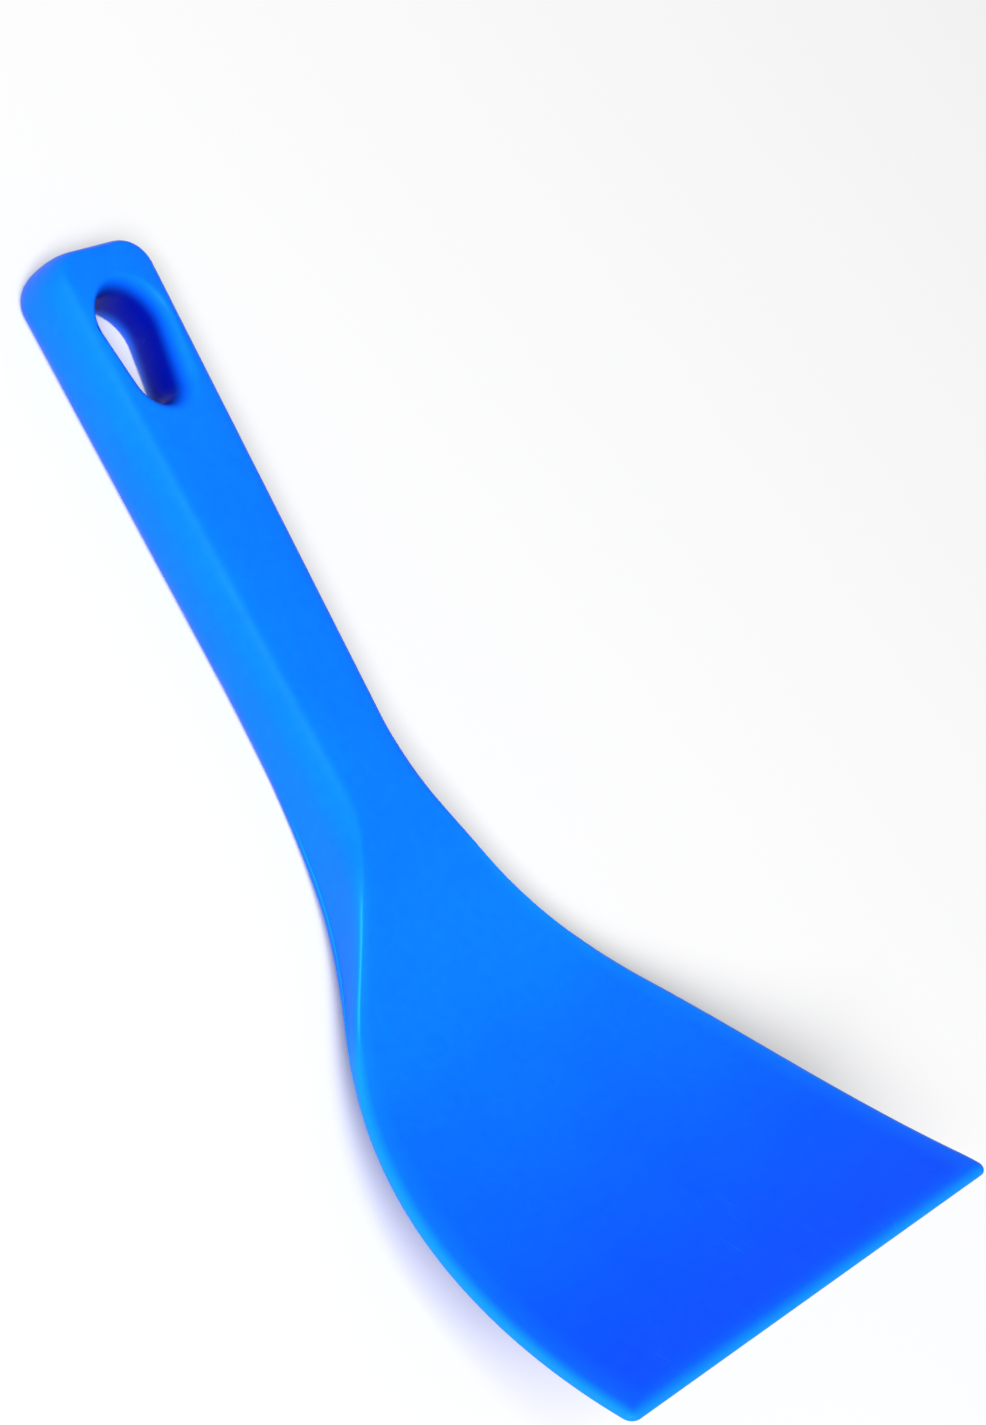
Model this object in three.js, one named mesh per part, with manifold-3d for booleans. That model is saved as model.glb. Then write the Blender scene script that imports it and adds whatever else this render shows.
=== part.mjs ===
// Flexible one-piece hand scraper: a rounded grip with a tapered hanging slot, a thick neck
// that ramps down on the thumb side, and a thin blade that flares to a straight working edge.
//
// Millimetres. The tool lies on the flat back of its grip: +Y runs from the butt end to the
// working edge, +Z out of the thumb side, and X across. Inside this file a place on the tool
// is (across, along, height): `along` is the distance from the butt end measured on the back
// surface, and `height` is measured off the back surface, square to it.
//
// The real tool is one moulding. It is built here as its stiff member, `handle`, and its
// flexible member, `blade`, which turn on a hinge line across the root of the blade.

import * as THREE from 'three';
import { mergeVertices } from 'three/addons/utils/BufferGeometryUtils.js';
import Module from 'manifold-3d';

const wasm = await Module();
wasm.setup();

const LENGTH = 250;

// Grip and neck
const BUTT_WIDTH = 27.8;
const BUTT_THICKNESS = 15;
const BUTT_CORNER = 8;          // radius of the butt's corners, seen from the front
const BUTT_EDGE = 2.2;          // how far the rounding of the butt's edges reaches along the grip
const BUTT_FRONT_DROP = 7.8;    // how far the front and back draw together in that rounding
const BUTT_BACK_RISE = 5.8;
const NECK_AT = 106;            // narrowest place, where the back starts to curve too
const NECK_WIDTH = 23;
const NECK_THICKNESS = 16.4;
const THICKEST_AT = 126.5;
const GRIP_ROUND_ACROSS = 3.6;  // half axes of the grip's elliptical long edges
const FRONT_ROUND_HEIGHT = 6.4;
const BACK_ROUND_HEIGHT = 5.8;
const NECK_BACK_ROUND = { across: 1.6, height: 1.4 };
const BACK_ROUND_FADES = [85, 130];
const RIDGE_ROUND = 0.5;        // what the thumb ramp leaves of the rounding at its ridges

// Thumb ramp: a plane that cuts the neck's front from its shoulder down to the blade
const RAMP_SLOPE = 0.385;
const RAMP_END = 163.5;
const SHOULDER_BLEND = 4;       // heights over which the planes run into each other
const CREASE_BLEND = 4.5;
const SHOULDER_STARTS = 117;    // where the shoulder's blend begins along the tool

// Blade
const BLADE_WIDTH = 110;
const BLADE_THICKNESS = 2.3;
const BLADE_ROUND_ACROSS = 2.5; // half axes of the front rounding of the blade's sides
const BLADE_ROUND_HEIGHT = 1.2;
const BLADE_BACK_ROUND = { across: 1.3, height: 0.7 };
const BLADE_ROUND_STARTS = [150, 168];
const BLADE_CORNER = 2.8;       // also how far the rounding of the working edge reaches
const WORKING_EDGE_DROP = 1.4;
const FLARE_LEAVES_NECK = 56;   // lengths of the handles of the side's Bezier curve
const FLARE_REACHES_EDGE = 100;
const FLARE_EDGE_SLOPE = 0.017; // the sides are nearly parallel at the working edge

// Bend of the whole tool towards the thumb side, an arc from the neck to the working edge
const BEND_START = NECK_AT;
const BEND_ANGLE = 0.834;
const BEND_RADIUS = (LENGTH - BEND_START) / BEND_ANGLE;

// Hanging slot: two round ends joined by straight sides, flaring like an ellipse at both faces
const SLOT_WIDE = { along: 17.5, radius: 7.4, flare: 3.2 };
const SLOT_NARROW = { along: 28.6, radius: 5, flare: 5.1 };
const SLOT_FLARE_HEIGHT = 7.9;

// Hinge line of the blade's flex, across the blade's root
const HINGE_AT = 170;
const HINGE_GAP = 1;

// Facets
const CORNER_STEPS = 5;
const SLOT_END_STEPS = 14;
const SLOT_LEVELS = 9;
const GRIP_STEP = 9;
const CURVE_STEP = 4;
const BLEND_STEP = 2;
const EDGE_STEPS = 8;

const BLUE = 0x1263f2;

// ---------------------------------------------------------------- the tool's own lines

const lerp = THREE.MathUtils.lerp;
const ease = THREE.MathUtils.smoothstep;

/** How far a quarter ellipse has dropped, from 1 at distance 0 to 0 at its full reach. */
function roundOff(distance, reach) {
  const left = 1 - THREE.MathUtils.clamp(distance / reach, 0, 1);
  return 1 - Math.sqrt(1 - left * left);
}

function bendAt(along) {
  return Math.max(along - BEND_START, 0) / BEND_RADIUS;
}

/** The point at (across, along, height), in the tool's frame with the butt end at Y = 0. */
function place(across, along, height) {
  const bend = bendAt(along);
  const y = Math.min(along, BEND_START) + BEND_RADIUS * Math.sin(bend);
  const z = BEND_RADIUS * (1 - Math.cos(bend));
  return new THREE.Vector3(across, y - height * Math.sin(bend), z + height * Math.cos(bend));
}

const flare = new THREE.CubicBezierCurve(
  new THREE.Vector2(NECK_AT, NECK_WIDTH / 2),
  new THREE.Vector2(NECK_AT + FLARE_LEAVES_NECK, NECK_WIDTH / 2),
  new THREE.Vector2(LENGTH - FLARE_REACHES_EDGE, BLADE_WIDTH / 2 - FLARE_REACHES_EDGE * FLARE_EDGE_SLOPE),
  new THREE.Vector2(LENGTH, BLADE_WIDTH / 2),
);

/** Half width of the flare, found by halving the Bezier curve's parameter. */
function flareAt(along) {
  let low = 0;
  let high = 1;
  for (let step = 0; step < 30; step += 1) {
    const middle = (low + high) / 2;
    if (flare.getPoint(middle).x < along) low = middle;
    else high = middle;
  }
  return flare.getPoint(low).y;
}

function halfWidthAt(along) {
  const side = along < NECK_AT
    ? lerp(BUTT_WIDTH, NECK_WIDTH, along / NECK_AT) / 2
    : flareAt(along);
  return side
    - BUTT_CORNER * roundOff(along, BUTT_CORNER)
    - BLADE_CORNER * roundOff(LENGTH - along, BLADE_CORNER);
}

function smoothMin(a, b, width) {
  const near = Math.max(width - Math.abs(a - b), 0) / width;
  return Math.min(a, b) - (near * near * width) / 4;
}

/** Thickness of the grip and neck as it would be without the thumb ramp. */
function barAt(along) {
  return BUTT_THICKNESS + (NECK_THICKNESS - BUTT_THICKNESS) * (along / THICKEST_AT);
}

function thicknessAt(along) {
  const ramp = BLADE_THICKNESS + RAMP_SLOPE * (RAMP_END - along);
  const neck = smoothMin(barAt(along), ramp, SHOULDER_BLEND);
  return -smoothMin(-neck, -BLADE_THICKNESS, CREASE_BLEND);
}

/** The back of the section: its height and the half axes of its rounded edges. */
function backAt(along) {
  const neck = ease(along, ...BACK_ROUND_FADES);
  const blade = ease(along, ...BLADE_ROUND_STARTS);
  const neckAcross = lerp(GRIP_ROUND_ACROSS, NECK_BACK_ROUND.across, neck);
  const neckHeight = lerp(BACK_ROUND_HEIGHT, NECK_BACK_ROUND.height, neck);
  return {
    height: BUTT_BACK_RISE * roundOff(along, BUTT_EDGE),
    roundAcross: lerp(neckAcross, BLADE_BACK_ROUND.across, blade),
    roundHeight: lerp(neckHeight, BLADE_BACK_ROUND.height, blade),
  };
}

/** The front of the section. The thumb ramp cuts into the grip's rounding and leaves a ridge. */
function frontAt(along) {
  const thickness = thicknessAt(along);
  const cut = barAt(along) - thickness;
  const ridgeAcross = Math.max(GRIP_ROUND_ACROSS * roundOff(cut, FRONT_ROUND_HEIGHT), RIDGE_ROUND);
  const ridgeHeight = Math.max(FRONT_ROUND_HEIGHT - cut, RIDGE_ROUND);
  const blade = ease(along, ...BLADE_ROUND_STARTS);
  return {
    height: thickness
      - BUTT_FRONT_DROP * roundOff(along, BUTT_EDGE)
      - WORKING_EDGE_DROP * roundOff(LENGTH - along, BLADE_CORNER),
    roundAcross: lerp(ridgeAcross, BLADE_ROUND_ACROSS, blade),
    roundHeight: lerp(ridgeHeight, BLADE_ROUND_HEIGHT, blade),
  };
}

// ---------------------------------------------------------------- solids from rings

/** A closed solid through rings of equal length, each anticlockwise seen from beyond the last. */
function loft(rings) {
  const count = rings[0].length;
  const points = rings.flat();
  const index = [];
  for (let r = 0; r + 1 < rings.length; r += 1) {
    for (let i = 0; i < count; i += 1) {
      const a = r * count + i;
      const b = r * count + ((i + 1) % count);
      index.push(a, b, b + count, a, b + count, a + count);
    }
  }
  for (const [ring, flip] of [[0, true], [rings.length - 1, false]]) {
    const centre = points.length;
    const sum = new THREE.Vector3();
    rings[ring].forEach((point) => sum.add(point));
    points.push(sum.divideScalar(count));
    for (let i = 0; i < count; i += 1) {
      const a = ring * count + i;
      const b = ring * count + ((i + 1) % count);
      index.push(...(flip ? [b, a, centre] : [a, b, centre]));
    }
  }
  const geometry = new THREE.BufferGeometry().setFromPoints(points);
  geometry.setIndex(index);
  geometry.computeVertexNormals();
  return geometry;
}

/** One cross-section: a rectangle with elliptical corners, those of the back and front alike or not. */
function sectionRing(along) {
  const halfWidth = halfWidthAt(along);
  const back = backAt(along);
  const front = frontAt(along);
  const mostHeight = 0.48 * (front.height - back.height);
  const ring = [];
  for (let corner = 0; corner < 4; corner += 1) {
    const sideX = corner === 0 || corner === 3 ? 1 : -1;
    const sideZ = corner < 2 ? -1 : 1;
    const face = corner < 2 ? back : front;
    const roundAcross = Math.min(face.roundAcross, 0.9 * halfWidth);
    const roundHeight = Math.min(face.roundHeight, mostHeight);
    for (let step = 0; step <= CORNER_STEPS; step += 1) {
      const turn = (Math.PI / 2) * (corner + 2 + step / CORNER_STEPS);
      const across = sideX * (halfWidth - roundAcross) - roundAcross * Math.cos(turn);
      const height = face.height - sideZ * roundHeight + roundHeight * Math.sin(turn);
      ring.push(place(across, along, height));
    }
  }
  return ring;
}

/** Distances along the tool from one to another, in equal steps of about the given size. */
function stations(from, to, step) {
  const count = Math.max(1, Math.round((to - from) / step));
  return Array.from({ length: count }, (_, i) => lerp(from, to, i / count));
}

/** Distances that crowd towards a rounded end. */
function crowded(from, to, steps) {
  const share = (i) => 1 - Math.cos((Math.PI / 2) * (i / steps));
  return Array.from({ length: steps }, (_, i) => lerp(from, to, share(i)));
}

// ---------------------------------------------------------------- booleans

function toManifold(geometry) {
  const bare = geometry.clone();
  bare.deleteAttribute('normal');
  const merged = mergeVertices(bare, 1e-5);
  return new wasm.Manifold(new wasm.Mesh({
    numProp: 3,
    vertProperties: new Float32Array(merged.attributes.position.array),
    triVerts: new Uint32Array(merged.index.array),
  }));
}

function toGeometry(manifold) {
  const mesh = manifold.getMesh();
  const geometry = new THREE.BufferGeometry();
  geometry.setAttribute('position', new THREE.BufferAttribute(mesh.vertProperties, 3));
  geometry.setIndex(new THREE.BufferAttribute(mesh.triVerts, 1));
  geometry.computeVertexNormals();
  return geometry;
}

// ---------------------------------------------------------------- the parts

/** The slot's outline at one height, grown outwards by a share of each end's flare. */
function slotRing(height, growth) {
  const wideRadius = SLOT_WIDE.radius + SLOT_WIDE.flare * growth;
  const narrowRadius = SLOT_NARROW.radius + SLOT_NARROW.flare * growth;
  const lean = Math.asin((wideRadius - narrowRadius) / (SLOT_NARROW.along - SLOT_WIDE.along));
  const ring = [];
  const addEnd = (along, radius, from, to) => {
    for (let step = 0; step <= SLOT_END_STEPS; step += 1) {
      const turn = lerp(from, to, step / SLOT_END_STEPS);
      ring.push(place(radius * Math.cos(turn), along + radius * Math.sin(turn), height));
    }
  };
  addEnd(SLOT_NARROW.along, narrowRadius, lean, Math.PI - lean);
  addEnd(SLOT_WIDE.along, wideRadius, Math.PI - lean, 2 * Math.PI + lean);
  return ring;
}

function slotCutter() {
  const middle = thicknessAt(SLOT_WIDE.along) / 2;
  const rings = [];
  for (let level = 0; level <= SLOT_LEVELS; level += 1) {
    const turn = lerp(-Math.PI / 2, Math.PI / 2, level / SLOT_LEVELS);
    rings.push(slotRing(middle + SLOT_FLARE_HEIGHT * Math.sin(turn), 1 - Math.cos(turn)));
  }
  return loft(rings);
}

function handleGeometry() {
  const along = [
    ...crowded(0, BUTT_CORNER, EDGE_STEPS),
    ...stations(BUTT_CORNER, NECK_AT, GRIP_STEP),
    ...stations(NECK_AT, SHOULDER_STARTS, CURVE_STEP),
    ...stations(SHOULDER_STARTS, HINGE_AT - HINGE_GAP / 2, BLEND_STEP),
    HINGE_AT - HINGE_GAP / 2,
  ];
  const solid = toManifold(loft(along.map(sectionRing)));
  return toGeometry(solid.subtract(toManifold(slotCutter())));
}

function bladeGeometry() {
  const along = [
    ...stations(HINGE_AT + HINGE_GAP / 2, LENGTH - BLADE_CORNER, CURVE_STEP),
    LENGTH - BLADE_CORNER,
    ...crowded(0, BLADE_CORNER, EDGE_STEPS).reverse().map((rest) => LENGTH - rest),
  ];
  return loft(along.map(sectionRing));
}

function moulded(name, geometry) {
  const material = new THREE.MeshStandardMaterial({ color: BLUE, roughness: 0.42, metalness: 0 });
  const mesh = new THREE.Mesh(geometry, material);
  mesh.name = name;
  return mesh;
}

const scraper = new THREE.Group();
scraper.add(moulded('handle', handleGeometry()));
scraper.add(moulded('blade', bladeGeometry()));

// The origin is under the middle of the tool's length, on the surface its back lies on.
const extent = new THREE.Box3().setFromObject(scraper);
scraper.position.y = -(extent.min.y + extent.max.y) / 2;

export default scraper;
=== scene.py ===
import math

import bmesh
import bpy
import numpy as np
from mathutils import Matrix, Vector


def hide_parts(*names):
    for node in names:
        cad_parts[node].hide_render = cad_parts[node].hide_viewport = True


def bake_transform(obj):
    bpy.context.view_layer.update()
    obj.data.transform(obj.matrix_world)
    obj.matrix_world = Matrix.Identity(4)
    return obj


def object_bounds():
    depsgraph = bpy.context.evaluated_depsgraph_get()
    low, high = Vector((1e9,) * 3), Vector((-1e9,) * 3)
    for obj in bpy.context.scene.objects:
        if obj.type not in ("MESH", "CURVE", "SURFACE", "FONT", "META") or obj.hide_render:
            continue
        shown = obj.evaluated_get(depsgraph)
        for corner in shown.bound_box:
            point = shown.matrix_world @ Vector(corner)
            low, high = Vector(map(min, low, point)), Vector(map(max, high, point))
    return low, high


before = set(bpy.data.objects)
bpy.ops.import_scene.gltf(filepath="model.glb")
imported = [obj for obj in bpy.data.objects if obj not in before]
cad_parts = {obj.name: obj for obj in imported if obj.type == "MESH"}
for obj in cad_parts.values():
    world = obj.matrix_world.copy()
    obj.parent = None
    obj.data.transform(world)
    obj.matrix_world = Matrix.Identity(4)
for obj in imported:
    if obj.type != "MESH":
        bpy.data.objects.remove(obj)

# A flexible hand scraper moulded in one piece of satin blue plastic, lying on its flat back.
#
# The lines of the tool are worked out in millimetres, in its own directions: `across` is the
# frame's X, `along` is the distance from the butt end measured on the back surface, and `height`
# is square to the back surface. place() turns them into the frame's metres. A pair of places
# along the tool, such as RIDGE_STARTS, says from where to where something comes in.
#
# The outline is the tool's edge seen from the thumb side. Its side wall is a band of profiles,
# one at each point of the outline, and the front and back sheets fill the space inside the band.

CAD_BOX = [list(corner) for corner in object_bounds()]
MM = 0.001
MERGE_DISTANCE = 0.002 * MM

LENGTH = 250.0

# Grip and neck
BUTT_WIDTH = 27.8
BUTT_THICKNESS = 15.2
BUTT_CORNER = 8.0
NECK_AT = 106.0               # narrowest place
NECK_WIDTH = 23.0
NECK_THICKNESS = 16.4
THICKEST_AT = 126.5
SIDE_ROUND = 3.6              # half axes of the elliptical front edges of the grip
SIDE_ROUND_HEIGHT = 6.4
BUTT_ROUND = 2.1              # the same at the butt end
BUTT_ROUND_HEIGHT = 7.8
CROWN = 0.8                   # how far the front of the grip falls from its middle to its edge
CROWN_REACH = 9.5
CROWN_FADES = (104.0, 130.0)

# Thumb ramp: a plane that cuts the neck from its shoulder down to the blade
RAMP_SLOPE = 0.385
RAMP_END = 163.5
SHOULDER_BLEND = 4.0          # heights over which the planes run into each other
CREASE_BLEND = 4.5
RIDGE_ROUND = 0.35
FRONT_MARGIN = 0.2            # the flat strip between the grip's front rounding and its sheet
RIDGE_LEAN = (0.6, 3.6)       # how far, across and in height, the wall leans in under the ridge
RIDGE_STARTS = (112.0, 130.0)

# Blade
BLADE_WIDTH = 110.0
BLADE_THICKNESS = 2.3
BLADE_CORNER = 2.1
BLADE_STARTS = (150.0, 168.0)
PLATE_ROUND = 2.0             # half axes of the front rounding of the blade's edges
PLATE_ROUND_HEIGHT = 1.2
WORKING_ROUND_HEIGHT = 1.0
WORKING_BEVEL = (6.0, 0.4)    # length and fall of the front face at the working edge
FLARE_LEAVES_NECK = 56.0      # lengths of the handles of the side's Bezier curve
FLARE_REACHES_EDGE = 100.0
FLARE_EDGE_SLOPE = 0.017

# Rounding of the back's edges: half axes, across and in height
GRIP_BACK_ROUND = (3.6, 5.8)
NECK_BACK_ROUND = (1.6, 1.4)
BLADE_BACK_ROUND = (1.3, 0.7)
BACK_MARGIN = 0.1             # the flat strip between the grip's back rounding and its sheet
BACK_ROUND_FADES = (85.0, 130.0)

# The blade's plate shows as a ledge along the foot of the neck. The side wall is made in two
# parts, which meet at the middle height on the grip, at the ledge on the neck, and at the
# blade's edge.
LEDGE = 0.26
LEDGE_HEIGHT = 2.0
LEDGE_DROP = 0.22
LEDGE_FADES_IN = (110.0, 124.0)
LEDGE_FADES_OUT = (146.0, 164.0)
GRIP_SPLIT = 6.2
GRIP_SPLIT_FADES = (88.0, 124.0)
BLADE_SPLIT = 0.95

# Bend towards the thumb side
BEND_START = NECK_AT
BEND_ANGLE = 0.834
BEND_RADIUS = (LENGTH - BEND_START) / BEND_ANGLE
FLEX = (126.0, 224.0)         # start and end of a stretch along the tool

# Hanging slot
SLOT_WIDE = (17.5, 7.4)       # place along the tool and radius of each round end
SLOT_NARROW = (28.6, 5.0)
SLOT_FLARES = (2.3, 3.7)      # how far the wall flares at the wide and the narrow end
SLOT_WAIST = 8.0              # height at which the slot is narrowest

# Painted light, as if light showed through the thin plastic, and painted highlight lines: reaches in
# from an edge, and strengths from 0 to 1
RIM_GLOW = 1.7
RIM_GLOW_STRENGTH = 0.55
RIM_GLOW_STARTS = (148.0, 166.0)
RIDGE_LINE = 0.35
RIDGE_LINE_STRENGTH = 0.8
RIDGE_GLOW = 3.0
RIDGE_GLOW_STRENGTH = 0.3
RIDGE_GLOW_STARTS = (128.0, 138.0)
RIDGE_GLOW_ENDS = (154.0, 166.0)
LEDGE_LINE = 0.05
LEDGE_LINE_STRENGTH = 0.5
# Painted shade in the hanging slot: how deep in it reaches full strength
SLOT_SHADE_DEPTH = 5.0

# Mesh density
ACROSS_STEPS = 10
UPPER_STEPS = 18
LOWER_FLAT_STEPS = 4
LOWER_ROUND_STEPS = 8
RING_STEPS = 7
SLOT_STEPS = 12
ARC_STEPS = 10
SHEET_MEETS_SLOT = 44.0
STATION_SPANS = [             # stretches of the side and the step in each
    (BUTT_CORNER, SHEET_MEETS_SLOT, 1.6),
    (SHEET_MEETS_SLOT, 104.0, 2.0),
    (104.0, 124.0, 1.25),
    (124.0, 168.0, 0.8),
    (168.0, LENGTH - BLADE_CORNER, 1.6),
]


# ---------------------------------------------------------------- the tool's own lines

def share(value, start, end):
    return np.clip((value - start) / (end - start), 0.0, 1.0)


def ease(value, start, end):
    t = share(value, start, end)
    return t * t * (3 - 2 * t)


def lerp(a, b, t):
    return a + (b - a) * t


def round_off(distance, reach):
    """How far a quarter ellipse has dropped: 1 at distance 0, and 0 from its full reach on."""
    left = 1 - np.clip(distance / reach, 0.0, 1.0)
    return 1 - np.sqrt(1 - left * left)


def smooth_min(a, b, width):
    """The smaller value, rounded off where the two are within the width of each other."""
    near = np.maximum(width - np.abs(a - b), 0.0) / width
    return np.minimum(a, b) - near * near * width / 4


def smooth_max(a, b, width):
    return -smooth_min(-a, -b, width)


BUTT_Y = CAD_BOX[0][1]


def place(across, along, height):
    """Points of the frame, in metres, from places on the tool in millimetres."""
    across, along, height = np.broadcast_arrays(across, along, height)
    bend = np.maximum(along - BEND_START, 0.0) / BEND_RADIUS
    y = np.minimum(along, BEND_START) + (BEND_RADIUS - height) * np.sin(bend)
    z = BEND_RADIUS * (1 - np.cos(bend)) + height * np.cos(bend)
    return np.stack([across * MM, y * MM + BUTT_Y, z * MM], axis=-1)


def flare_table():
    """Finely spaced places along the tool and half widths there, from the flare's Bezier curve."""
    t = np.linspace(0, 1, 4001)[:, None]
    corners = np.array([
        (NECK_AT, NECK_WIDTH / 2),
        (NECK_AT + FLARE_LEAVES_NECK, NECK_WIDTH / 2),
        (LENGTH - FLARE_REACHES_EDGE, BLADE_WIDTH / 2 - FLARE_REACHES_EDGE * FLARE_EDGE_SLOPE),
        (LENGTH, BLADE_WIDTH / 2),
    ])
    weights = [(1 - t) ** 3, 3 * (1 - t) ** 2 * t, 3 * (1 - t) * t ** 2, t ** 3]
    return sum(weight * corner for weight, corner in zip(weights, corners)).T


FLARE = flare_table()


def side_at(along):
    """Half width of the tool, before its corners are rounded."""
    grip = lerp(BUTT_WIDTH, NECK_WIDTH, along / NECK_AT) / 2
    return np.where(along < NECK_AT, grip, np.interp(along, *FLARE))


def inside_by(across, along):
    """Distance in from the edge of the grip, its butt corners rounded."""
    aside = side_at(along) - np.abs(across)
    in_corner = (aside < BUTT_CORNER) & (along < BUTT_CORNER)
    from_arc = BUTT_CORNER - np.hypot(BUTT_CORNER - aside, BUTT_CORNER - along)
    return np.where(in_corner, from_arc, np.minimum(aside, along))


def crown_at(across, along):
    """How far the grip's front has fallen from its middle."""
    fade = 1 - ease(along, *CROWN_FADES)
    return CROWN * fade * (1 - share(inside_by(across, along), 0.0, CROWN_REACH)) ** 2


def bar_at(along):
    """Thickness of the grip and neck as they would be without the thumb ramp."""
    return BUTT_THICKNESS + (NECK_THICKNESS - BUTT_THICKNESS) * along / THICKEST_AT


def front_at(across, along):
    """Height of the front surface."""
    ramp = BLADE_THICKNESS + RAMP_SLOPE * (RAMP_END - along)
    cut = smooth_min(bar_at(along), ramp, SHOULDER_BLEND)
    bevel = WORKING_BEVEL[1] * share(along, LENGTH - WORKING_BEVEL[0], LENGTH) ** 2
    return smooth_max(cut, BLADE_THICKNESS, CREASE_BLEND) - crown_at(across, along) - bevel


# ---------------------------------------------------------------- the outline

def stations():
    """Places along the side, closer together where the surface turns."""
    places = []
    for start, end, step in STATION_SPANS:
        count = max(1, round((end - start) / step))
        places += [start + (end - start) * i / count for i in range(count)]
    return places + [LENGTH - BLADE_CORNER]


def half_outline():
    """Points (across, along) with outward directions, from the butt's middle to the blade's middle."""
    points = []
    flat = side_at(BUTT_CORNER) - BUTT_CORNER
    for i in range(ARC_STEPS // 2):
        points.append((flat * i / (ARC_STEPS // 2), 0.0, 0.0, -1.0))
    for i in range(ARC_STEPS + 1):
        turn = math.pi / 2 * i / ARC_STEPS
        out = (math.sin(turn), -math.cos(turn))
        points.append((flat + BUTT_CORNER * out[0], BUTT_CORNER + BUTT_CORNER * out[1], *out))
    for along in stations()[1:]:
        slope = (side_at(along + 0.05) - side_at(along - 0.05)) / 0.1
        if along > LENGTH - 2 * BLADE_CORNER:
            slope = 0.0
        length = math.hypot(1, slope)
        points.append((float(side_at(along)), along, 1 / length, -slope / length))
    middle = points[-1][0] - BLADE_CORNER
    for i in range(1, ARC_STEPS + 1):
        turn = math.pi / 2 * i / ARC_STEPS
        out = (math.cos(turn), math.sin(turn))
        corner = LENGTH - BLADE_CORNER
        points.append((middle + BLADE_CORNER * out[0], corner + BLADE_CORNER * out[1], *out))
    for i in range(1, ACROSS_STEPS + 1):
        points.append((middle * (1 - i / ACROSS_STEPS), LENGTH, 0.0, 1.0))
    return points


# ---------------------------------------------------------------- the side wall's profile

def even(curve, count, turn_weight):
    """The curve again as count + 1 points, closer together where it turns."""
    step = np.diff(curve, axis=0)
    length = np.hypot(step[:, 0], step[:, 1])
    angle = np.unwrap(np.arctan2(step[:, 1], step[:, 0]))
    turn = np.abs(np.gradient(angle))
    run = np.concatenate([[0.0], np.cumsum(length + turn_weight * turn)])
    wanted = np.linspace(0, run[-1], count + 1)
    return np.stack([np.interp(wanted, run, curve[:, axis]) for axis in (0, 1)], axis=1)


def softened(curve, reach):
    """The curve with its corners rounded over the given reach, its two ends kept."""
    step = np.diff(curve, axis=0)
    run = np.concatenate([[0.0], np.cumsum(np.hypot(step[:, 0], step[:, 1]))])
    fine = np.linspace(0, run[-1], 400)
    even_curve = np.stack([np.interp(fine, run, curve[:, axis]) for axis in (0, 1)], axis=1)
    half = max(1, int(reach / run[-1] * 400 / 2))
    for _ in range(2):
        before = even_curve[0] - np.arange(half, 0, -1)[:, None] * (even_curve[1] - even_curve[0])
        after = even_curve[-1] + np.arange(1, half + 1)[:, None] * (even_curve[-1] - even_curve[-2])
        padded = np.concatenate([before, even_curve, after])
        total = np.cumsum(np.concatenate([np.zeros((1, 2)), padded]), axis=0)
        even_curve = (total[2 * half + 1:] - total[:-2 * half - 1]) / (2 * half + 1)
    return even_curve


def upper_profile(along, out_along, top, bar):
    """(inset, height) from the front sheet down to the height where the wall splits.

    `top` is the front's height here, and `bar` what it would be without the thumb ramp.
    """
    at_butt = max(-out_along, 0.0) if along < BUTT_CORNER else 0.0
    at_edge = max(out_along, 0.0) if along > LENGTH - 2 * BLADE_CORNER else 0.0
    side_round = lerp(SIDE_ROUND, BUTT_ROUND, at_butt)
    plate_round = PLATE_ROUND * ease(along, *BLADE_STARTS)
    plate_height = lerp(PLATE_ROUND_HEIGHT, WORKING_ROUND_HEIGHT, at_edge)
    ledge = ledge_at(along)
    low = split_at(along)
    height = low + (top - low) * np.sin(np.linspace(0, math.pi / 2, 120))
    side_height = lerp(SIDE_ROUND_HEIGHT, BUTT_ROUND_HEIGHT, at_butt)
    side_height = min(side_height, top - low)
    inset = ledge + side_round * round_off(bar - height, side_height)
    inset = inset + plate_round * round_off(top - height, plate_height)
    lean = RIDGE_LEAN[0] * ramp_share(along)
    inset = inset + lean * round_off(top - height, min(RIDGE_LEAN[1], top - low))
    margin = lerp(FRONT_MARGIN, RIDGE_ROUND, ease(along, *RIDGE_STARTS))
    margin = lerp(margin, BLADE_CORNER - PLATE_ROUND, ease(along, *BLADE_STARTS))
    inwards = inset[-1] + np.linspace(0, margin, 12)[1:]
    curve = np.concatenate([
        np.stack([inset, height], axis=1),
        np.stack([inwards, np.full_like(inwards, top)], axis=1),
    ])[::-1]
    curve = softened(curve, min(2 * margin, 0.5 * (top - low)) * 0.8)
    curve = even(curve, UPPER_STEPS, 1.2)
    return np.insert(curve, -1, lerp(curve[-2], curve[-1], 0.85), axis=0)


def ramp_share(along):
    """1 where the ramp's sides are sharp ridges, 0 before its shoulder and on the blade."""
    return ease(along, *RIDGE_STARTS) * (1 - ease(along, *BLADE_STARTS))


def ledge_at(along):
    """How far the ledge stands out from the neck's side."""
    return LEDGE * ease(along, *LEDGE_FADES_IN) * (1 - ease(along, *LEDGE_FADES_OUT))


def split_at(along):
    """Height at which the upper and lower parts of the side wall meet."""
    neck = lerp(GRIP_SPLIT, LEDGE_HEIGHT, ease(along, *GRIP_SPLIT_FADES))
    return lerp(neck, BLADE_SPLIT, ease(along, *LEDGE_FADES_OUT))


def back_round_at(along):
    """Half axes of the back edge's rounding, across and in height."""
    neck = ease(along, *BACK_ROUND_FADES)
    blade = ease(along, *BLADE_STARTS)
    return [
        lerp(lerp(on_grip, on_neck, neck), on_blade, blade)
        for on_grip, on_neck, on_blade in zip(GRIP_BACK_ROUND, NECK_BACK_ROUND, BLADE_BACK_ROUND)
    ]


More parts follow.
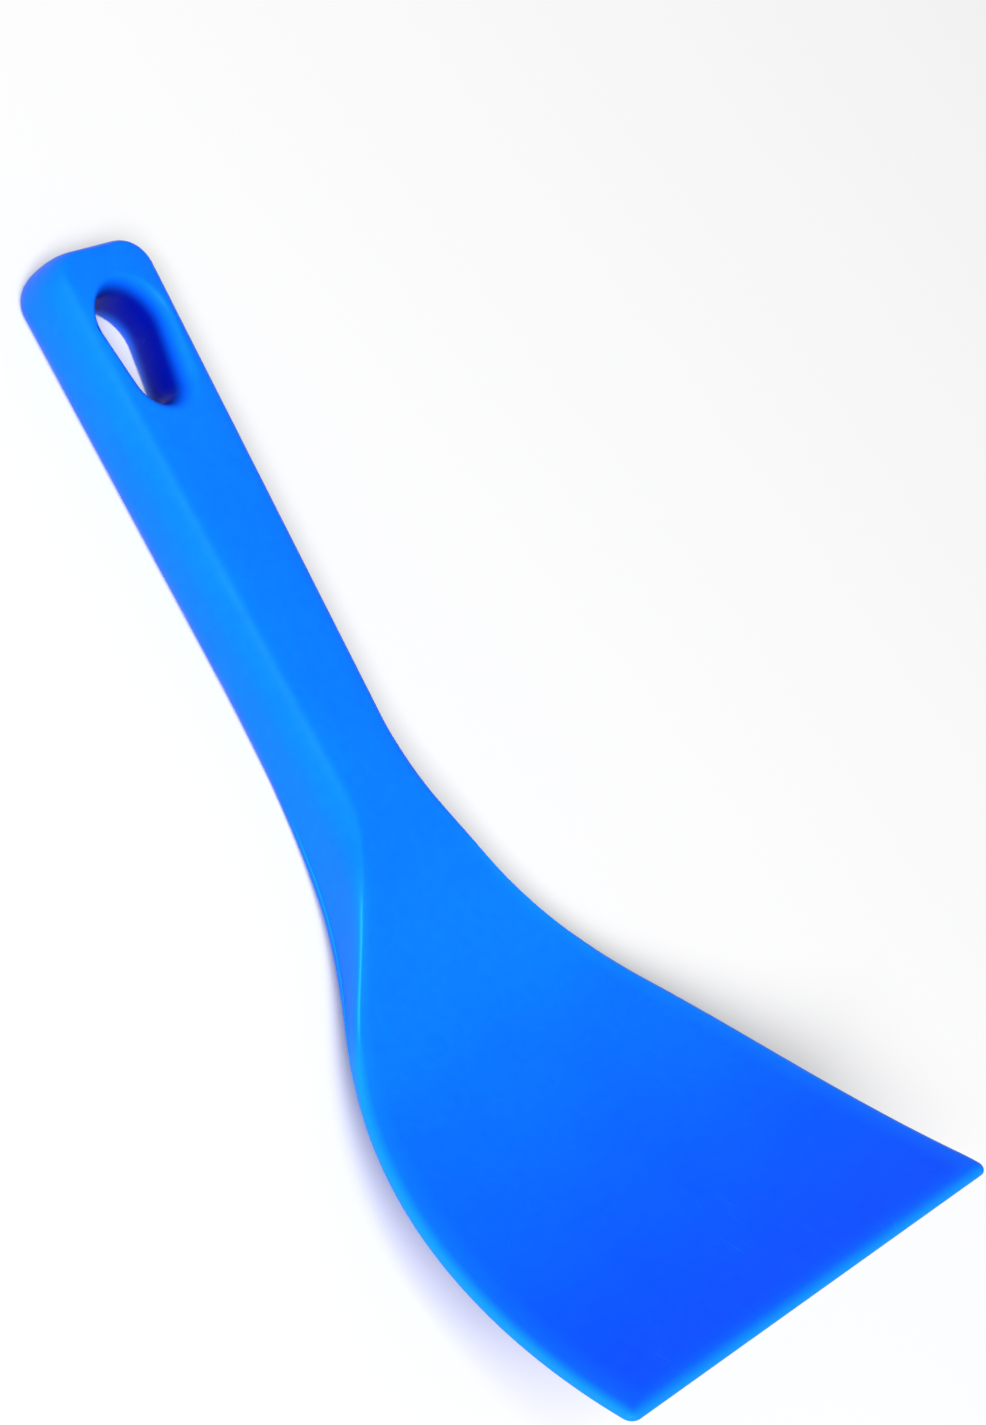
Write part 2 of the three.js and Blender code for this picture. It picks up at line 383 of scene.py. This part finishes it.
def lower_profile(along, out_along):
    """(inset, height) from the split down to the back sheet."""
    at_butt = max(-out_along, 0.0) if along < BUTT_CORNER else 0.0
    across, up = back_round_at(along)
    across = lerp(across, BUTT_ROUND, at_butt)
    low = split_at(along)
    up = min(up, low - LEDGE_DROP)
    points = [(ledge_at(along) / 2, low - LEDGE_DROP / 2)]
    for i in range(LOWER_FLAT_STEPS):
        down = 0.9 * (i / (LOWER_FLAT_STEPS - 1)) ** 2
        points.append((0.0, lerp(low - LEDGE_DROP, up, down)))
    for i in range(LOWER_ROUND_STEPS + 1):
        turn = math.pi / 2 * i / LOWER_ROUND_STEPS
        points.append((across * (1 - math.cos(turn)), up * (1 - math.sin(turn))))
    margin = lerp(BACK_MARGIN, BLADE_CORNER - BLADE_BACK_ROUND[0], ease(along, *BLADE_STARTS))
    points.append((across + margin, 0.0))
    return np.array(points)


def band_column(across, along, out_across, out_along):
    """The side wall at one outline point, from the front sheet round to the back sheet.

    The upper profile is drawn for the front's height at the outline. Its points are moved to
    the front's height where they really are, fully at the top and not at all at the split.
    """
    top = float(front_at(across, along))
    bar = float(bar_at(along) - crown_at(across, along))
    upper = upper_profile(along, out_along, top, bar)
    lower = lower_profile(along, out_along)
    insets = np.concatenate([upper[:, 0], lower[:, 0]])
    x = across - out_across * insets
    s = along - out_along * insets
    front = front_at(x, s)[:len(upper)]
    low = upper[-1, 1]
    fade = np.clip((upper[:, 1] - low) / (top - low), 0, 1)
    heights = upper[:, 1] + (front - top) * fade
    heights[0] = front[0]
    return np.stack([x, s, np.concatenate([heights, lower[:, 1]])], axis=1)


# ---------------------------------------------------------------- the mesh

def mirrored(points):
    return points * np.array([-1.0, 1.0, 1.0])


def slot_side(across, along):
    """The place, outward direction and flare of the slot's wall that face a point of a sheet."""
    lean = math.asin((SLOT_WIDE[1] - SLOT_NARROW[1]) / (SLOT_NARROW[0] - SLOT_WIDE[0]))
    sign = -1.0 if across < 0 else 1.0
    across = abs(across)
    if along < SLOT_WIDE[0]:
        turn = math.atan2(along - SLOT_WIDE[0], across)
        turn = lerp(-math.pi / 2, lean, (turn + math.pi / 2) / (math.pi / 2))
        t = 0.0
    elif along > SLOT_NARROW[0]:
        turn = math.atan2(along - SLOT_NARROW[0], across)
        turn = lerp(lean, math.pi / 2, turn / (math.pi / 2))
        t = 1.0
    else:
        turn = lean
        t = (along - SLOT_WIDE[0]) / (SLOT_NARROW[0] - SLOT_WIDE[0])
    centre, radius = (lerp(wide, narrow, t) for wide, narrow in zip(SLOT_WIDE, SLOT_NARROW))
    out = (math.cos(turn), math.sin(turn))
    foot = (sign * radius * out[0], centre + radius * out[1])
    return foot, (sign * out[0], out[1]), lerp(*SLOT_FLARES, t)


def sheet_row(edge):
    """Places (across, along) of a sheet's row, between an edge point and its mirror image."""
    t = np.linspace(-1, 1, 2 * ACROSS_STEPS + 1)
    return np.stack([t * edge[0], np.full_like(t, edge[1])], axis=1)


def slot_grids(boundary, facing, height_at):
    """The sheet between the slot and its boundary, and the slot's wall from there to its waist."""
    sheet, wall = [], []
    for (across, along), (foot, out, flare) in zip(boundary, facing):
        rim = np.array(foot) + np.array(out) * flare
        t = np.linspace(0, 1, RING_STEPS + 1)[:, None]
        flat = rim + (np.array([across, along]) - rim) * t
        sheet.append(np.column_stack([flat, height_at(flat[:, 0], flat[:, 1])]))
        turn = np.linspace(0, math.pi / 2, SLOT_STEPS + 1)
        grow = flare * (1 - np.cos(turn))
        x = foot[0] + out[0] * grow
        s = foot[1] + out[1] * grow
        h = lerp(SLOT_WAIST, height_at(x, s), np.sin(turn))
        wall.append(np.stack([x, s, h], axis=1))
    return np.array(sheet), np.array(wall)


def flat_back(across, along):
    return np.zeros_like(np.asarray(across, float) + along)


def painted_edge_light(across, along, height):
    """Strength of the painted light at a thin edge, a sharp ridge or the ledge, from 0 to 1: painted
    light showing through the thin plastic and painted highlight lines.
    """
    aside = (side_at(along) - np.abs(across)) * 0.9
    inside = np.maximum(np.minimum(aside, LENGTH - along), 0.0)
    rim = RIM_GLOW_STRENGTH * np.exp(-((inside / RIM_GLOW) ** 1.4)) * ease(along, *RIM_GLOW_STARTS)

    below_front = np.maximum(front_at(across, along) - height, 0.0)
    past_ridge = np.maximum(aside - RIDGE_LEAN[0] - LEDGE, 0.0)
    from_ridge = np.hypot(below_front, past_ridge * 3)
    ridge = RIDGE_LINE_STRENGTH * np.exp(-((from_ridge / RIDGE_LINE) ** 2))
    ridge = ridge + RIDGE_GLOW_STRENGTH * np.exp(-from_ridge / RIDGE_GLOW)
    ridge = ridge * ease(along, *RIDGE_GLOW_STARTS) * (1 - ease(along, *RIDGE_GLOW_ENDS))

    from_ledge = height - split_at(along) + LEDGE_DROP / 2
    on_ledge = np.exp(-((from_ledge / LEDGE_LINE) ** 2)) * (aside < 1)
    ledge = LEDGE_LINE_STRENGTH * on_ledge * ledge_at(along) / LEDGE
    return np.clip(np.maximum(np.maximum(rim, ridge), ledge), 0.0, 1.0)


def painted_slot_shade(across, along, height):
    """Strength of the painted shade inside the hanging slot, from 0 at the faces to 1 at the middle."""
    nearest_middle = np.clip(along, SLOT_WIDE[0], SLOT_NARROW[0])
    outside = np.hypot(across, along - nearest_middle) - SLOT_WIDE[1]
    below = np.minimum(height, front_at(across, along) - height)
    return ease(below, 0.0, SLOT_SHADE_DEPTH) * (1 - ease(outside, 0.5, SLOT_FLARES[0]))


def sheet_sides(half):
    """Numbers of the outline points that the sheets' straight rows run between."""
    first = SHEET_MEETS_SLOT - 1e-6
    last = LENGTH - BLADE_CORNER + 1e-6
    return [
        i for i, (_, along, _, out_along) in enumerate(half)
        if first <= along <= last and out_along < 0.5
    ]


def scraper_grids():
    """Every patch of the surface, as a grid of (across, along, height) and whether it is a ring."""
    half = half_outline()
    columns = [band_column(*point) for point in half]
    loop = columns + [mirrored(column) for column in columns[-2:0:-1]]
    grids = [(np.array(loop), True)]
    sides = sheet_sides(half)
    for end, height_at in ((0, front_at), (-1, flat_back)):
        edge = [column[end][:2] for column in columns]
        rows = [sheet_row(edge[i]) for i in sides]
        grids.append((np.array([np.column_stack([row, height_at(*row.T)]) for row in rows]), False))
        around = edge[:sides[0] + 1]
        far_side = [(-across, along) for across, along in around[:0:-1]]
        boundary = far_side + around + list(rows[0][-2:0:-1])
        if end == 0:
            facing = [slot_side(*point) for point in boundary]
        for grid in slot_grids(boundary, facing, height_at):
            grids.append((grid, True))
    return grids


def add_grid(built, layers, grid, closed):
    """A grid's vertices, with their values for the material, and its faces."""
    rows, cols = grid.shape[:2]
    across, along, height = grid[..., 0], grid[..., 1], grid[..., 2]
    points = place(across, along, height)
    # Painted light at thin edges, the sharp ridge and the ledge
    painted_light = painted_edge_light(across, along, height)
    # Painted shade inside the hanging slot
    painted_shade = painted_slot_shade(across, along, height)
    verts = [[built.verts.new(points[r, c]) for c in range(cols)] for r in range(rows)]
    for r in range(rows):
        for c in range(cols):
            verts[r][c][layers["flat_place"]] = grid[r, c] * MM
            verts[r][c][layers["painted_edge_light"]] = painted_light[r, c]
            verts[r][c][layers["painted_slot_shade"]] = painted_shade[r, c]
    for r in range(rows if closed else rows - 1):
        after = verts[(r + 1) % rows]
        for c in range(cols - 1):
            built.faces.new((verts[r][c], verts[r][c + 1], after[c + 1], after[c]))


def build_mesh(name, grids):
    built = bmesh.new()
    layers = {
        "painted_edge_light": built.verts.layers.float.new("painted_edge_light"),
        "painted_slot_shade": built.verts.layers.float.new("painted_slot_shade"),
        "flat_place": built.verts.layers.float_vector.new("flat_place"),
    }
    for grid, closed in grids:
        add_grid(built, layers, grid, closed)
    bmesh.ops.remove_doubles(built, verts=built.verts, dist=MERGE_DISTANCE)
    bmesh.ops.dissolve_degenerate(built, dist=MERGE_DISTANCE / 20, edges=built.edges)
    bmesh.ops.recalc_face_normals(built, faces=built.faces)
    for face in built.faces:
        face.smooth = True
    mesh = bpy.data.meshes.new(name)
    built.to_mesh(mesh)
    built.free()
    return mesh


# ---------------------------------------------------------------- material

class Tree:
    """Short calls for building a material's nodes."""

    def __init__(self, material):
        material.use_nodes = True
        self.tree = material.node_tree
        self.shader = self.tree.nodes["Principled BSDF"]

    def node(self, kind, inputs=(), **settings):
        made = self.tree.nodes.new(kind)
        for key, value in settings.items():
            setattr(made, key, value)
        for name, value in dict(inputs).items():
            self.feed(made.inputs[name], value)
        return made

    def feed(self, socket, value):
        if isinstance(value, bpy.types.NodeSocket):
            self.tree.links.new(value, socket)
        else:
            socket.default_value = value

    def attribute(self, name, output="Fac"):
        return self.node("ShaderNodeAttribute", attribute_name=name).outputs[output]

    def math(self, operation, *values):
        made = self.tree.nodes.new("ShaderNodeMath")
        made.operation = operation
        for socket, value in zip(made.inputs, values):
            self.feed(socket, value)
        return made.outputs["Value"]

    def spread(self, value, low, high, to_low=0.0, to_high=1.0):
        """The value from low..high drawn out to to_low..to_high, with a smooth start and end."""
        inputs = {"Value": value, "From Min": low, "From Max": high, "To Min": to_low, "To Max": to_high}
        made = self.node("ShaderNodeMapRange", inputs, interpolation_type="SMOOTHSTEP")
        return made.outputs["Result"]

    def mapped(self, vector, **settings):
        return self.node("ShaderNodeMapping", {"Vector": vector, **settings}).outputs["Vector"]

    def noise(self, vector, scale, detail=3.0, roughness=0.5, distortion=0.0):
        inputs = {
            "Vector": vector,
            "Scale": scale,
            "Detail": detail,
            "Roughness": roughness,
            "Distortion": distortion,
        }
        return self.node("ShaderNodeTexNoise", inputs).outputs["Fac"]

    def mix(self, factor, first, second, blend="MIX"):
        made = self.tree.nodes.new("ShaderNodeMix")
        made.data_type = "RGBA"
        made.blend_type = blend
        self.feed(made.inputs[0], factor)
        self.feed(made.inputs[6], first)
        self.feed(made.inputs[7], second)
        return made.outputs[2]


# Linear colours: the plastic's own blue, and painted shade, painted light and scratch colours mixed into
# it
NECK_BLUE = (0.0025, 0.148, 0.98, 1)
TIP_PAINTED_SHADE_BLUE = (0.0015, 0.080, 0.99, 1)
PAINTED_LIGHT_AND_SCRATCH_CYAN = (0.010, 0.36, 0.98, 1)
SLOT_PAINTED_SHADE_BLUE = (0.0004, 0.004, 0.30, 1)
SHEEN_BLUE = (0.15, 0.60, 1.0, 1)

# Sizes of the patterns, as noise cells per metre
CLOUDS = 42.0
MOTTLE = 420.0
GLOSS_PATCHES = 90.0
SCRATCH_PATCHES = 55.0
ORANGE_PEEL = 260.0
GRAIN = 2300.0
SCRATCHES = (2600.0, 46.0, 200.0)
CROSSING_SCRATCHES = (2300.0, 60.0, 200.0)
CROSSING_ANGLE = (0.0, 0.0, 0.6)


def fine_scratches(nodes, flat, along):
    """Hairlines, mostly along the scraping direction, in patches near the working edge."""
    lines = nodes.noise(nodes.mapped(flat, Scale=SCRATCHES), 1.0, 2.0, 0.6, 0.4)
    turned = nodes.mapped(flat, Rotation=CROSSING_ANGLE)
    crossing = nodes.noise(nodes.mapped(turned, Scale=CROSSING_SCRATCHES), 1.0, 2.0, 0.6, 0.3)
    hair = nodes.math("MAXIMUM", nodes.spread(lines, 0.66, 0.74), nodes.spread(crossing, 0.69, 0.76))
    patches = nodes.spread(nodes.noise(flat, SCRATCH_PATCHES, 2.0), 0.45, 0.62)
    near_edge = nodes.spread(along, 0.150, 0.245, 0.15, 1.0)
    return nodes.math("MULTIPLY", nodes.math("MULTIPLY", hair, patches), near_edge)


def plastic_colour(nodes, flat, along, scratches):
    """Blue darkened towards the tip by painted shade, a little uneven, lighter at edges by painted
    light, and darkened deep in the slot by painted shade.
    """
    # Painted shade: the blue darkens towards the tip, where the bent blade turns from the light
    colour = nodes.mix(nodes.spread(along, 0.158, 0.248), NECK_BLUE, TIP_PAINTED_SHADE_BLUE)
    clouds = nodes.spread(nodes.noise(flat, CLOUDS, 3.0, 0.55), 0.3, 0.7, 0.96, 1.03)
    mottle = nodes.spread(nodes.noise(flat, MOTTLE, 2.0, 0.6), 0.3, 0.7, -0.03, 0.03)
    colour = nodes.mix(1.0, colour, nodes.math("ADD", clouds, mottle), "MULTIPLY")
    # Painted light: thin edges, the sharp ridge and the ledge lightened towards cyan
    painted_light = nodes.math("MULTIPLY", nodes.attribute("painted_edge_light"), 0.8)
    colour = nodes.mix(painted_light, colour, PAINTED_LIGHT_AND_SCRATCH_CYAN)
    # Painted shade deep in the hanging slot
    colour = nodes.mix(nodes.attribute("painted_slot_shade"), colour, SLOT_PAINTED_SHADE_BLUE)
    # The scratches, which are real wear, are lightened with the same cyan as the painted light
    return nodes.mix(nodes.math("MULTIPLY", scratches, 0.25), colour, PAINTED_LIGHT_AND_SCRATCH_CYAN)


def plastic_relief(nodes, flat, scratches):
    """Fine moulded grain over a soft orange peel, with the scratches cut in."""
    grain = nodes.math("MULTIPLY", nodes.noise(flat, GRAIN, 2.0, 0.5), 0.35)
    peel = nodes.math("MULTIPLY", nodes.noise(flat, ORANGE_PEEL, 2.0, 0.4), 1.6)
    relief = nodes.math("ADD", grain, peel)
    return nodes.math("SUBTRACT", relief, nodes.math("MULTIPLY", scratches, 0.5))


def blue_plastic():
    material = bpy.data.materials.new("satin_blue_plastic")
    nodes = Tree(material)
    flat = nodes.attribute("flat_place", "Vector")
    along = nodes.node("ShaderNodeSeparateXYZ", {"Vector": flat}).outputs["Y"]
    scratches = fine_scratches(nodes, flat, along)
    nodes.feed(nodes.shader.inputs["Base Color"], plastic_colour(nodes, flat, along, scratches))

    gloss = nodes.spread(nodes.noise(flat, GLOSS_PATCHES, 3.0, 0.6), 0.3, 0.7, 0.36, 0.50)
    rough = nodes.math("ADD", gloss, nodes.math("MULTIPLY", scratches, 0.12))
    nodes.feed(nodes.shader.inputs["Roughness"], rough)
    nodes.shader.inputs["Specular IOR Level"].default_value = 0.1
    nodes.shader.inputs["Specular Tint"].default_value = SHEEN_BLUE

    relief = plastic_relief(nodes, flat, scratches)
    bump = nodes.node("ShaderNodeBump", {"Height": relief, "Strength": 0.35, "Distance": 0.06 * MM})
    nodes.feed(nodes.shader.inputs["Normal"], bump.outputs["Normal"])
    return material


# ---------------------------------------------------------------- the scene

scraper = bpy.data.objects.new("scraper_moulding", build_mesh("scraper_moulding", scraper_grids()))
bpy.context.scene.collection.objects.link(scraper)
scraper.data.materials.append(blue_plastic())
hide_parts("handle", "blade")
bend_from = place(0.0, FLEX[0], 0.0)
bend_to = place(0.0, FLEX[1], 0.0)
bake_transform(scraper)


def pale_floor():
    mesh = bpy.data.meshes.new("floor")
    reach = 6.0
    corners = [(-reach, -reach, 0), (reach, -reach, 0), (reach, reach, 0), (-reach, reach, 0)]
    mesh.from_pydata(corners, [], [(0, 1, 2, 3)])
    floor = bpy.data.objects.new("floor", mesh)
    bpy.context.scene.collection.objects.link(floor)
    material = bpy.data.materials.new("pale_floor")
    material.use_nodes = True
    shader = material.node_tree.nodes["Principled BSDF"]
    shader.inputs["Base Color"].default_value = (0.68, 0.68, 0.68, 1)
    shader.inputs["Roughness"].default_value = 0.9
    shader.inputs["Specular IOR Level"].default_value = 0.1
    mesh.materials.append(material)


def add_light(name, towards, distance, size, power):
    """A soft square light that faces the middle of the tool, from the given direction."""
    light = bpy.data.lights.new(name, "AREA")
    light.size = size
    light.energy = power
    lamp = bpy.data.objects.new(name, light)
    direction = Vector(towards).normalized()
    lamp.location = direction * distance + Vector((0, 0, 0.03))
    lamp.rotation_mode = "QUATERNION"
    lamp.rotation_quaternion = direction.to_track_quat("Z", "Y")
    bpy.context.scene.collection.objects.link(lamp)


def studio():
    add_light("key", (0.62, 0.16, 0.75), 4.5, 2.25, 378)
    world = bpy.data.worlds.new("studio")
    bpy.context.scene.world = world
    world.use_nodes = True
    background = world.node_tree.nodes["Background"]
    background.inputs["Color"].default_value = (1, 1, 1, 1)
    background.inputs["Strength"].default_value = 0.16
    bpy.context.scene.view_settings.view_transform = "Standard"


def camera():
    data = bpy.data.cameras.new("camera")
    data.sensor_width = 36
    data.lens = 86.5
    data.clip_start = 0.01
    data.clip_end = 50
    eye = bpy.data.objects.new("camera", data)
    right = Vector((-0.63622, 0.46063, 0.61891))
    back = Vector((0.71705, 0.05700, 0.69469)).normalized()
    up = back.cross(right).normalized()
    right = up.cross(back)
    turn = Matrix((right, up, back)).transposed()
    eye.matrix_world = Matrix.Translation((0.44121, 0.03409, 0.47813)) @ turn.to_4x4()
    bpy.context.scene.collection.objects.link(eye)
    bpy.context.scene.camera = eye


pale_floor()
studio()
camera()
